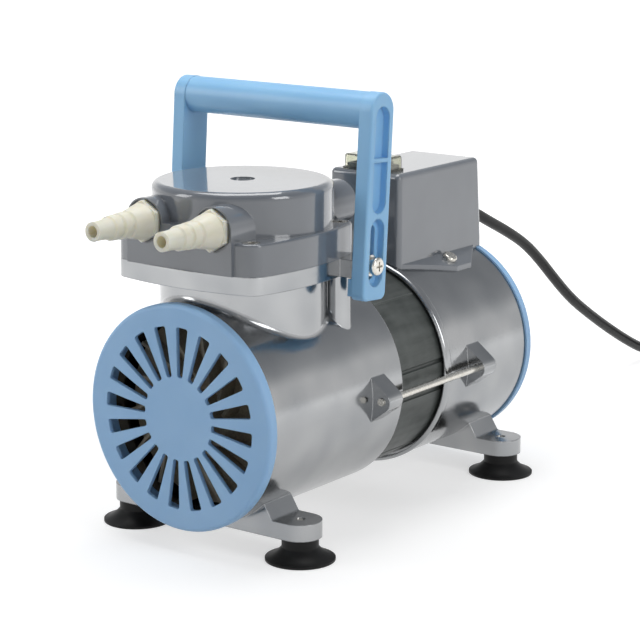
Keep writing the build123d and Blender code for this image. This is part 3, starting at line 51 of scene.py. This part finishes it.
MM = 0.001
CORD_DIAMETER = 6.8 * MM
CORD_RADIUS = CORD_DIAMETER / 2
LEAD_X = -10.0 * MM
GLAND_Z = 139.0 * MM
PUMP_AXIS_Z = 72.3 * MM
CAMERA_PLACE = (0.71986, -0.95308, 0.37808)
CAMERA_AZIMUTH = 36.61          # degrees
CAMERA_ELEVATION = 12.88        # degrees
CAMERA_LENS = 125.92            # millimetres on a sensor 36 mm wide
WAVE_COUNT = 20                 # a wave of scale 1 / (WAVE_COUNT * size) repeats every 2 pi * size


# ------------------------------------------------------------------ small helpers
def linear(hex_colour):
    """An sRGB hex colour as the linear RGBA that Blender's sockets take."""
    channels = [int(hex_colour[i:i + 2], 16) / 255 for i in (1, 3, 5)]
    return [c / 12.92 if c <= 0.04045 else ((c + 0.055) / 1.055) ** 2.4 for c in channels] + [1.0]


def add(tree, kind, inputs=(), **settings):
    """Add a node with its settings; inputs maps a socket to a value or to the output that feeds it."""
    made = tree.nodes.new(kind)
    for name, value in settings.items():
        setattr(made, name, value)
    for socket, value in dict(inputs).items():
        if isinstance(value, bpy.types.NodeSocket):
            tree.links.new(value, made.inputs[socket])
        else:
            made.inputs[socket].default_value = value
    return made


def new_material(name):
    """An empty node material, its tree and the object coordinates in metres."""
    made = bpy.data.materials.new(name)
    made.use_nodes = True
    tree = made.node_tree
    tree.nodes.clear()
    return made, tree, add(tree, "ShaderNodeTexCoord").outputs["Object"]


def finish_material(tree, inputs):
    """The principled shader and the output."""
    shader = add(tree, "ShaderNodeBsdfPrincipled", inputs)
    add(tree, "ShaderNodeOutputMaterial", {"Surface": shader.outputs[0]})


def wave_scale(size):
    """The scale of a wave texture that repeats every 2 pi * size metres."""
    return 1 / size / WAVE_COUNT


def noise(tree, place, size, detail=3.0, roughness=0.5):
    """Noise whose grains are about size metres across."""
    return add(tree, "ShaderNodeTexNoise", {"Vector": place, "Scale": 1 / size, "Detail": detail,
                                            "Roughness": roughness}).outputs["Fac"]


def between(tree, factor, low, high):
    """A number that goes from low to high as the factor goes from 0.3 to 0.7."""
    return add(tree, "ShaderNodeMapRange", {"Value": factor, "From Min": 0.3, "From Max": 0.7,
                                            "To Min": low, "To Max": high}).outputs["Result"]


def two_tone(tree, factor, dark, light, low=0.3, high=0.7):
    """A colour ramp between two hex colours."""
    ramp = add(tree, "ShaderNodeValToRGB", {"Fac": factor})
    ramp.color_ramp.elements[0].position = low
    ramp.color_ramp.elements[0].color = linear(dark)
    ramp.color_ramp.elements[1].position = high
    ramp.color_ramp.elements[1].color = linear(light)
    return ramp.outputs["Color"]


def relief(tree, height, depth, normal=None):
    """A bump of a depth in metres."""
    inputs = {"Height": height, "Distance": depth, "Strength": 1.0}
    if normal is not None:
        inputs["Normal"] = normal
    return add(tree, "ShaderNodeBump", inputs).outputs["Normal"]


def soft_edge(tree, radius):
    """Edges that look rounded to a radius in metres."""
    return add(tree, "ShaderNodeBevel", {"Radius": radius}, samples=4).outputs["Normal"]


# ------------------------------------------------------------------ camera
def place_camera():
    """A long lens at the front right, a little above the pump."""
    azimuth = math.radians(CAMERA_AZIMUTH)
    elevation = math.radians(CAMERA_ELEVATION)
    camera_data = bpy.data.cameras.new("camera")
    camera_data.sensor_width = 36.0
    camera_data.lens = CAMERA_LENS
    camera = bpy.data.objects.new("camera", camera_data)
    camera.location = CAMERA_PLACE
    back = Vector((math.sin(azimuth) * math.cos(elevation), -math.cos(azimuth) * math.cos(elevation),
                   math.sin(elevation)))
    camera.rotation_euler = back.to_track_quat("Z", "Y").to_euler()
    bpy.context.scene.collection.objects.link(camera)
    bpy.context.scene.camera = camera


place_camera()


# ------------------------------------------------------------------ materials
def polished_casting():
    """Die-cast aluminium, linished and polished: mirror-like, with the faint waviness that a polishing
    wheel leaves."""
    made, tree, place = new_material("polished_cast_aluminium")
    waves = noise(tree, place, 26 * MM, 1.0)
    fine = noise(tree, place, 3 * MM, 4.0)
    colour = two_tone(tree, waves, "#989A9C", "#A8A9AA")
    rounded = soft_edge(tree, 0.8 * MM)
    wavy = relief(tree, waves, 0.1 * MM, rounded)
    finish_material(tree, {
        "Base Color": colour, "Metallic": 1.0, "Roughness": between(tree, fine, 0.13, 0.2),
        "Normal": relief(tree, fine, 0.008 * MM, wavy)})
    return made


def machined_aluminium():
    """Turned aluminium: concentric tool marks, drawn about 3.8 mm apart, far coarser than real ones."""
    made, tree, place = new_material("machined_aluminium")
    rings = add(tree, "ShaderNodeTexWave", {
        "Vector": place, "Scale": wave_scale(0.6 * MM), "Distortion": 0.4},
        wave_type="RINGS", rings_direction="Z").outputs["Fac"]
    finish_material(tree, {"Base Color": two_tone(tree, rings, "#A2A4A8", "#C4C6C8"), "Metallic": 1.0,
                           "Roughness": 0.32, "Normal": relief(tree, rings, 0.01 * MM)})
    return made


def grey_enamel():
    """Stove enamel over a casting: smooth and glossy, with slight orange peel and grain in its tone."""
    made, tree, place = new_material("grey_stove_enamel")
    peel = noise(tree, place, 4 * MM, 2.0)
    cloud = noise(tree, place, 45 * MM, 2.0)
    rounded = soft_edge(tree, 0.8 * MM)
    finish_material(tree, {
        "Base Color": two_tone(tree, cloud, "#666B72", "#6F747B"),
        "Roughness": between(tree, peel, 0.12, 0.18), "Normal": relief(tree, peel, 0.015 * MM, rounded),
        "Coat Weight": 1.0, "Coat Roughness": 0.05})
    return made


def blue_plastic(name, dark, light, roughness, edge):
    """Moulded polypropylene: satin, softly see-through at its edges, with a fine spark-eroded grain."""
    made, tree, place = new_material(name)
    cloud = noise(tree, place, 35 * MM, 2.0)
    grain = noise(tree, place, 0.6 * MM, 2.0)
    rounded = soft_edge(tree, edge)
    finish_material(tree, {
        "Base Color": two_tone(tree, cloud, dark, light),
        "Roughness": between(tree, grain, roughness, roughness + 0.08),
        "Normal": relief(tree, grain, 0.01 * MM, rounded), "Subsurface Weight": 0.12,
        "Subsurface Radius": (0.6, 0.9, 1.4), "Subsurface Scale": 1.5 * MM})
    return made


def varnished_laminations():
    """Stacked electrical sheet under varnish: dark and satin, with patches and smears; sheets of 0.5 mm are
    drawn as bands about 8.8 mm apart, far coarser than real ones."""
    made, tree, place = new_material("varnished_laminations")
    sheets = add(tree, "ShaderNodeTexWave", {
        "Vector": place, "Scale": wave_scale(1.4 * MM), "Distortion": 0.6, "Detail": 1.0,
        "Detail Scale": 0.4},
        wave_type="BANDS", bands_direction="Y").outputs["Fac"]
    patches = noise(tree, place, 14 * MM, 4.0, 0.6)
    stretched = add(tree, "ShaderNodeMapping", {"Vector": place, "Scale": (1.0, 0.12, 1.0)})
    smears = noise(tree, stretched.outputs["Vector"], 5 * MM, 4.0)
    tone = add(tree, "ShaderNodeMix", {0: 0.5, 2: patches, 3: smears}, data_type="FLOAT").outputs[0]
    finish_material(tree, {
        "Base Color": two_tone(tree, tone, "#3E4240", "#5A5E5C", 0.35, 0.65), "Metallic": 0.35,
        "Roughness": between(tree, patches, 0.36, 0.5), "Normal": relief(tree, sheets, 0.08 * MM)})
    return made


def enamelled_copper():
    """Wound copper wire under brown varnish: strands drawn about 9.4 mm apart, far coarser than real."""
    made, tree, place = new_material("varnished_copper_wire")
    strands = add(tree, "ShaderNodeTexWave", {
        "Vector": place, "Scale": wave_scale(1.5 * MM), "Distortion": 1.5},
        wave_type="RINGS", rings_direction="Y").outputs["Fac"]
    finish_material(tree, {"Base Color": two_tone(tree, strands, "#5A2A12", "#B06A30"), "Metallic": 0.4,
                           "Roughness": 0.35, "Normal": relief(tree, strands, 0.3 * MM)})
    return made


def bright_steel(name, dark, light, roughness, grain_size):
    """Bare or plated steel with the fine marks of grinding or turning."""
    made, tree, place = new_material(name)
    marks = noise(tree, place, grain_size, 4.0, 0.6)
    finish_material(tree, {
        "Base Color": two_tone(tree, marks, dark, light), "Metallic": 1.0,
        "Roughness": between(tree, marks, roughness, roughness + 0.1),
        "Normal": relief(tree, marks, 0.01 * MM, soft_edge(tree, 0.3 * MM))})
    return made


def moulded_rubber(name, dark, light, roughness):
    """Moulded black rubber or sheathing: near black and dull, with a bloom that lifts the tone in patches."""
    made, tree, place = new_material(name)
    bloom = noise(tree, place, 9 * MM, 3.0)
    grain = noise(tree, place, 0.8 * MM, 2.0)
    finish_material(tree, {
        "Base Color": two_tone(tree, bloom, dark, light),
        "Roughness": between(tree, bloom, roughness, roughness + 0.12),
        "Normal": relief(tree, grain, 0.02 * MM), "Specular IOR Level": 0.25})
    return made


def natural_nylon():
    """Undyed moulded nylon: ivory, waxy, light going a little way in, with faint flow lines."""
    made, tree, place = new_material("natural_nylon")
    stretched = add(tree, "ShaderNodeMapping", {"Vector": place, "Scale": (1.0, 0.2, 1.0)}).outputs["Vector"]
    flow = noise(tree, stretched, 4 * MM, 3.0)
    finish_material(tree, {
        "Base Color": two_tone(tree, flow, "#E2DECB", "#ECE8D9"),
        "Roughness": between(tree, flow, 0.36, 0.46),
        "Normal": relief(tree, flow, 0.03 * MM, soft_edge(tree, 0.5 * MM)), "Subsurface Weight": 0.7,
        "Subsurface Radius": (1.2, 1.0, 0.7), "Subsurface Scale": 5 * MM})
    return made


def plain_plastic(name, dark, light, roughness):
    """Moulded plastic with a fine grain."""
    made, tree, place = new_material(name)
    grain = noise(tree, place, 1.2 * MM, 3.0)
    finish_material(tree, {
        "Base Color": two_tone(tree, grain, dark, light),
        "Roughness": between(tree, grain, roughness, roughness + 0.1),
        "Normal": relief(tree, grain, 0.02 * MM, soft_edge(tree, 0.4 * MM))})
    return made


def clear_vinyl():
    """Soft clear PVC of a switch boot: clear faces with a slight olive cast."""
    made, tree, place = new_material("clear_soft_vinyl")
    grain = noise(tree, place, 6 * MM, 2.0)
    finish_material(tree, {
        "Base Color": two_tone(tree, grain, "#E4E5D2", "#F0F0E4"),
        "Roughness": between(tree, grain, 0.05, 0.1),
        "IOR": 1.5, "Transmission Weight": 0.93, "Normal": relief(tree, grain, 0.05 * MM)})
    return made


cord_sheath = moulded_rubber("cord_sheath", "#080808", "#0E0E0F", 0.3)
plated = bright_steel("nickel_plated_steel", "#C9C5BC", "#E0DDD6", 0.2, 1.5 * MM)
ground = bright_steel("ground_steel", "#8E9094", "#B4B6B9", 0.28, 0.8 * MM)
FINISHES = {
    "cast_aluminium": polished_casting(),
    "machined_aluminium": machined_aluminium(),
    "blue_grille": blue_plastic("blue_satin_cover", "#96C0E8", "#A0C8EE", 0.42, 0.6 * MM),
    "blue_handle": blue_plastic("blue_moulded_handle", "#8CC2EC", "#96CAF1", 0.3, 1.2 * MM),
    "stator_steel": varnished_laminations(),
    "copper_winding": enamelled_copper(),
    "bearing_steel": ground,
    "spring_steel": ground,
    "plated_steel": plated,
    "machined_iron": bright_steel("machined_iron", "#5A5B5C", "#747576", 0.4, 2 * MM),
    "grey_paint": grey_enamel(),
    "rubber": moulded_rubber("black_rubber", "#161616", "#212121", 0.5),
    "foot_rubber": moulded_rubber("foot_rubber", "#080808", "#101010", 0.42),
    "natural_nylon": natural_nylon(),
    "fan_plastic": plain_plastic("fan_nylon", "#9A8E7A", "#B0A48E", 0.45),
    "capacitor_case": plain_plastic("capacitor_case", "#C9C9C4", "#D8D8D4", 0.35),
    "black_plastic": plain_plastic("black_switch_plastic", "#141414", "#1E1E1E", 0.3),
    "clear_cap": clear_vinyl(),
    "cord_rubber": cord_sheath,
}
for entry in frame["record"]["subparts"]:
    mesh = nodes[entry["node"]].data
    mesh.materials.clear()
    mesh.materials.append(FINISHES[entry["material_slot"]])


# ------------------------------------------------------------------ mains lead
# millimetres, as are the coil's values below
ROUTE = [(-10.0, 165.95, 139.0), (-10.0, 176.0, 139.0), (-9.6, 188.0, 136.6), (-9.1, 200.0, 130.6),
         (-8.6, 222.0, 120.6), (-8.5, 244.0, 109.5), (-8.8, 263.5, 96.0), (-9.4, 285.0, 78.8),
         (-10.0, 307.5, 62.0), (-10.5, 331.5, 47.8), (-10.8, 358.0, 33.2), (-10.6, 385.0, 19.2),
         (-10.2, 409.5, 7.9), (-10.0, 429.0, 3.4), (-10.0, 448.0, 3.4)]
COIL_MIDDLE = (34.2, 478.0)
COIL_RADII = (44.2, 37.4, 30.6)
LAYER_HEIGHTS = (3.4, 10.2)
COIL_TURNS = 5.5
POINTS_PER_TURN = 24
COIL_APPROACH = 8.0
PLUG_LEAD = 42.0
# in turns from the coil's start: moving in by a layer twice, climbing, and moving out again twice
MOVES_IN = ((0.8, 0.95), (1.8, 1.95))
CLIMB = (2.6, 2.8)
MOVES_OUT = ((3.51, 3.64), (4.51, 4.64))


def eased(value, start, end):
    """0 before start, 1 after end, smooth between."""
    share = min(max((value - start) / (end - start), 0), 1)
    return share * share * (3 - 2 * share)


def coil_points():
    """Three turns wound inwards on the floor, a climb, and the turns wound outwards on top of them."""
    outer, middle, inner = COIL_RADII
    floor_z, top_z = LAYER_HEIGHTS
    swell = 1 / math.cos(math.pi / POINTS_PER_TURN)
    points = []
    for i in range(1, int(COIL_TURNS * POINTS_PER_TURN)):
        turn = i / POINTS_PER_TURN
        radius = (outer - (outer - middle) * eased(turn, *MOVES_IN[0])
                  - (middle - inner) * eased(turn, *MOVES_IN[1]))
        radius += ((middle - inner) * eased(turn, *MOVES_OUT[0])
                   + (outer - middle) * eased(turn, *MOVES_OUT[1]))
        height = floor_z + (top_z - floor_z) * eased(turn, *CLIMB)
        angle = math.pi - 2 * math.pi * turn
        points.append((COIL_MIDDLE[0] + swell * radius * math.cos(angle),
                       COIL_MIDDLE[1] + swell * radius * math.sin(angle), height))
    return points


def mains_lead():
    """The lead as one smooth curve: down from the gland, along the floor, the coil, and back to the plug."""
    plug_x = COIL_MIDDLE[0] + COIL_RADII[0]
    points = list(ROUTE)
    points.append((LEAD_X / MM, COIL_MIDDLE[1] - COIL_APPROACH, LAYER_HEIGHTS[0]))
    points += coil_points()
    points.append((plug_x, COIL_MIDDLE[1] - COIL_APPROACH, LAYER_HEIGHTS[1]))
    points.append((plug_x, COIL_MIDDLE[1] - PLUG_LEAD, LAYER_HEIGHTS[1]))
    curve = bpy.data.curves.new("mains_lead", "CURVE")
    curve.dimensions = "3D"
    curve.bevel_depth = CORD_RADIUS
    curve.bevel_resolution = 5
    curve.resolution_u = 6
    curve.use_fill_caps = True
    spline = curve.splines.new("NURBS")
    spline.points.add(len(points) - 1)
    for point, (x, y, z) in zip(spline.points, points):
        point.co = (x * MM, y * MM, z * MM, 1)
    spline.order_u = 3
    spline.use_endpoint_u = True
    curve.materials.append(cord_sheath)
    lead = bpy.data.objects.new("mains_lead", curve)
    bpy.context.scene.collection.objects.link(lead)
    return lead


lead = mains_lead()
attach(lead, "pump_body")
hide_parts("power_cord", "cord_coil")


# ------------------------------------------------------------------ repeated details
RIBS_START_Y = 147.5 * MM       # the ring nearest the terminal box
WELD_ANGLES = (40, 140, 220, 320)   # degrees from the top, seen from the nozzle end
WELD_OFFSET = 7.2 * MM          # the first bead's place past the stator's hidden edge
WELD_SINK = 0.15 * MM           # how far a bead's middle lies under the stator's surface


def node_group(name, sizes):
    """A Geometry Nodes tree with named number inputs and a geometry output."""
    tree = bpy.data.node_groups.new(name, "GeometryNodeTree")
    tree.interface.new_socket("Geometry", in_out="INPUT", socket_type="NodeSocketGeometry")
    for label, value in sizes.items():
        kind = "NodeSocketInt" if isinstance(value, int) else "NodeSocketFloat"
        tree.interface.new_socket(label, in_out="INPUT", socket_type=kind)
    tree.interface.new_socket("Geometry", in_out="OUTPUT", socket_type="NodeSocketGeometry")
    return tree, add(tree, "NodeGroupInput").outputs


def made_mesh(name, tree, sizes, material, body, place):
    """Evaluate a tree, put the result in its place and keep it as a plain mesh object on a body."""
    carrier = bpy.data.objects.new(name, bpy.data.meshes.new(name))
    bpy.context.scene.collection.objects.link(carrier)
    modifier = carrier.modifiers.new("repeat", "NODES")
    modifier.node_group = tree
    sockets = {item.name: item.identifier for item in tree.interface.items_tree if item.in_out == "INPUT"}
    for label, value in sizes.items():
        modifier[sockets[label]] = value
    evaluated = carrier.evaluated_get(bpy.context.evaluated_depsgraph_get())
    mesh = bpy.data.meshes.new_from_object(evaluated)
    carrier.modifiers.clear()
    carrier.data = mesh
    mesh.transform(place)
    mesh.materials.clear()
    mesh.materials.append(material)
    for polygon in mesh.polygons:
        polygon.use_smooth = True
    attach(carrier, body)


def ring_row():
    """Rounded rings in a row along Z, shrinking evenly, as moulded on a strain relief."""
    sizes = {"Count": 9, "Spacing": 1.9 * MM, "First Radius": 5.0 * MM, "Last Radius": 4.4 * MM,
             "Ring Thickness": 0.55 * MM}
    tree, given = node_group("ring_row", sizes)
    row = add(tree, "GeometryNodeMeshLine", {"Count": given["Count"], "Offset": add(
        tree, "ShaderNodeCombineXYZ", {"Z": given["Spacing"]}).outputs[0]}, mode="OFFSET")
    circle = add(tree, "GeometryNodeCurvePrimitiveCircle", {"Resolution": 40, "Radius": 1.0}, mode="RADIUS")
    section = add(tree, "GeometryNodeCurvePrimitiveCircle", {"Resolution": 8, "Radius": add(
        tree, "ShaderNodeMath", {0: given["Ring Thickness"], 1: given["First Radius"]},
        operation="DIVIDE").outputs[0]}, mode="RADIUS")
    ring = add(tree, "GeometryNodeCurveToMesh", {"Curve": circle.outputs["Curve"],
                                                 "Profile Curve": section.outputs["Curve"]})
    index = add(tree, "GeometryNodeInputIndex").outputs[0]
    last = add(tree, "ShaderNodeMath", {0: given["Count"], 1: 1.0}, operation="SUBTRACT").outputs[0]
    size = add(tree, "ShaderNodeMapRange", {"Value": index, "From Max": last, "To Min": given["First Radius"],
                                            "To Max": given["Last Radius"]}).outputs["Result"]
    scale = add(tree, "ShaderNodeCombineXYZ", {0: size, 1: size, 2: size}).outputs[0]
    rings = add(tree, "GeometryNodeInstanceOnPoints", {
        "Points": row.outputs["Mesh"], "Instance": ring.outputs[0], "Scale": scale})
    real = add(tree, "GeometryNodeRealizeInstances", {"Geometry": rings.outputs[0]})
    painted = add(tree, "GeometryNodeSetMaterial", {"Geometry": real.outputs[0], "Material": cord_sheath})
    add(tree, "NodeGroupOutput", {"Geometry": painted.outputs[0]})
    place = Matrix.Translation((LEAD_X, RIBS_START_Y, GLAND_Z)) @ Matrix.Rotation(-math.pi / 2, 4, "X")
    made_mesh("strain_relief_ribs", tree, sizes, cord_sheath, "pump_body", place)


ring_row()


def weld_beads():
    """A row of small, flat, overlapping weld dots along Y."""
    sizes = {"Count": 23, "Spacing": 1.85 * MM, "Bead Radius": 1.15 * MM, "Flatness": 0.45}
    tree, given = node_group("weld_run", sizes)
    row = add(tree, "GeometryNodeMeshLine", {"Count": given["Count"], "Offset": add(
        tree, "ShaderNodeCombineXYZ", {"Y": given["Spacing"]}).outputs[0]}, mode="OFFSET")
    bead = add(tree, "GeometryNodeMeshIcoSphere", {"Radius": given["Bead Radius"], "Subdivisions": 2})
    wobble = add(tree, "FunctionNodeRandomValue", {"Min": 0.85, "Max": 1.1, "Seed": 5}, data_type="FLOAT")
    size = add(tree, "ShaderNodeCombineXYZ", {0: 1.0, 1: wobble.outputs[1], 2: given["Flatness"]})
    beads = add(tree, "GeometryNodeInstanceOnPoints", {
        "Points": row.outputs["Mesh"], "Instance": bead.outputs["Mesh"], "Scale": size.outputs[0]})
    real = add(tree, "GeometryNodeRealizeInstances", {"Geometry": beads.outputs[0]})
    painted = add(tree, "GeometryNodeSetMaterial", {"Geometry": real.outputs[0],
                                                    "Material": FINISHES["stator_steel"]})
    add(tree, "NodeGroupOutput", {"Geometry": painted.outputs[0]})
    return tree, sizes


def weld_runs():
    """Four runs along the stator's outside, two on each side."""
    tree, sizes = weld_beads()
    stator_low, stator_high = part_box("stator_core")
    start_y = stator_low.y + WELD_OFFSET
    radius = (stator_high.x - stator_low.x) / 2 - WELD_SINK
    for number, angle in enumerate(WELD_ANGLES):
        lean = math.radians(angle)
        place = Matrix.Translation((radius * math.sin(lean), start_y, PUMP_AXIS_Z + radius * math.cos(lean)))
        made_mesh(f"stator_weld_{number + 1}", tree, sizes, FINISHES["stator_steel"], "pump_body",
                  place @ Matrix.Rotation(lean, 4, "Y"))


weld_runs()


# ------------------------------------------------------------------ stage and light
FLOOR_HALF = 8.0                # metres from the middle to an edge
FLOOR_DROP = 0.0002             # metres below the feet
MIDDLE = (0.0, 0.0, 0.1)        # what the lamps point at
# name, place and panel in metres, and power in watts
LAMPS = (("overhead", (-0.15, 0.1, 1.25), (0.9, 0.7), 9.0),
         ("left_front", (-1.0, -1.1, 0.75), (0.5, 0.8), 5.0),
         ("right_side", (1.35, -0.1, 0.7), (0.5, 0.7), 6.0))
# the surroundings' tone by the sine of the height angle: 0 at and below the horizon, 1 straight above
SKY_STOPS = ((0.0, "#FFFFFF"), (0.22, "#FFFFFF"), (0.36, "#C4C6C9"), (0.6, "#9EA1A5"), (0.85, "#ACAEB2"),
             (1.0, "#C4C6C8"))


def pale_stage():
    """A white floor that glows for rays that see it, less so near the pump, where shadows fall."""
    made, tree, place = new_material("white_floor")
    path = add(tree, "ShaderNodeLightPath")
    seen = add(tree, "ShaderNodeMath", {0: path.outputs["Is Camera Ray"], 1: path.outputs["Is Glossy Ray"]},
               operation="MAXIMUM").outputs[0]
    seen = add(tree, "ShaderNodeMath", {0: seen, 1: path.outputs["Is Transmission Ray"]},
               operation="MAXIMUM").outputs[0]
    diffuse = add(tree, "ShaderNodeBsdfDiffuse", {"Color": linear("#C8C8C8")})
    distance = add(tree, "ShaderNodeVectorMath", {0: place}, operation="LENGTH").outputs["Value"]
    lift = add(tree, "ShaderNodeMapRange", {
        "Value": distance, "From Min": 0.15, "From Max": 0.9, "To Min": 0.55,
        "To Max": 1.0}).outputs["Result"]
    glow = add(tree, "ShaderNodeEmission", {"Color": (1, 1, 1, 1), "Strength": add(
        tree, "ShaderNodeMath", {0: seen, 1: lift}, operation="MULTIPLY").outputs[0]})
    both = add(tree, "ShaderNodeAddShader", {0: diffuse.outputs[0], 1: glow.outputs[0]})
    add(tree, "ShaderNodeOutputMaterial", {"Surface": both.outputs[0]})
    mesh = bpy.data.meshes.new("floor")
    corners = [(x * FLOOR_HALF, y * FLOOR_HALF, 0) for x, y in ((-1, -1), (1, -1), (1, 1), (-1, 1))]
    mesh.from_pydata(corners, [], [(0, 1, 2, 3)])
    mesh.materials.append(made)
    floor = bpy.data.objects.new("floor", mesh)
    floor.location.z = -FLOOR_DROP
    bpy.context.scene.collection.objects.link(floor)


def studio_world():
    """Soft grey surroundings that are white to the camera and light matt surfaces at half strength."""
    world = bpy.data.worlds.new("studio")
    bpy.context.scene.world = world
    world.use_nodes = True
    tree = world.node_tree
    tree.nodes.clear()
    direction = add(tree, "ShaderNodeTexCoord").outputs["Generated"]
    height = add(tree, "ShaderNodeSeparateXYZ", {0: direction}).outputs["Z"]
    ramp = add(tree, "ShaderNodeValToRGB", {"Fac": height})
    elements = ramp.color_ramp.elements
    while len(elements) < len(SKY_STOPS):
        elements.new(0.5)
    for element, (position, colour) in zip(elements, SKY_STOPS):
        element.position = position
        element.color = linear(colour)
    path = add(tree, "ShaderNodeLightPath")
    colour = add(tree, "ShaderNodeMix", {"Factor": path.outputs["Is Camera Ray"], 6: ramp.outputs["Color"],
                                         7: (1, 1, 1, 1)}, data_type="RGBA").outputs[2]
    strength = add(tree, "ShaderNodeMapRange", {"Value": path.outputs["Is Diffuse Ray"], "To Min": 1.0,
                                                "To Max": 0.5}).outputs["Result"]
    background = add(tree, "ShaderNodeBackground", {"Color": colour, "Strength": strength})
    add(tree, "ShaderNodeOutputWorld", {"Surface": background.outputs[0]})


def soft_box(name, place, size, power):
    """A rectangular lamp that points at the pump's middle."""
    data = bpy.data.lights.new(name, "AREA")
    data.shape = "RECTANGLE"
    data.size, data.size_y = size
    data.energy = power
    lamp = bpy.data.objects.new(name, data)
    lamp.location = place
    lamp.rotation_euler = (Vector(place) - Vector(MIDDLE)).to_track_quat("Z", "Y").to_euler()
    bpy.context.scene.collection.objects.link(lamp)


pale_stage()
studio_world()
for lamp_name, lamp_place, panel, watts in LAMPS:
    soft_box(lamp_name, lamp_place, panel, watts)
bpy.context.scene.view_settings.view_transform = "Standard"
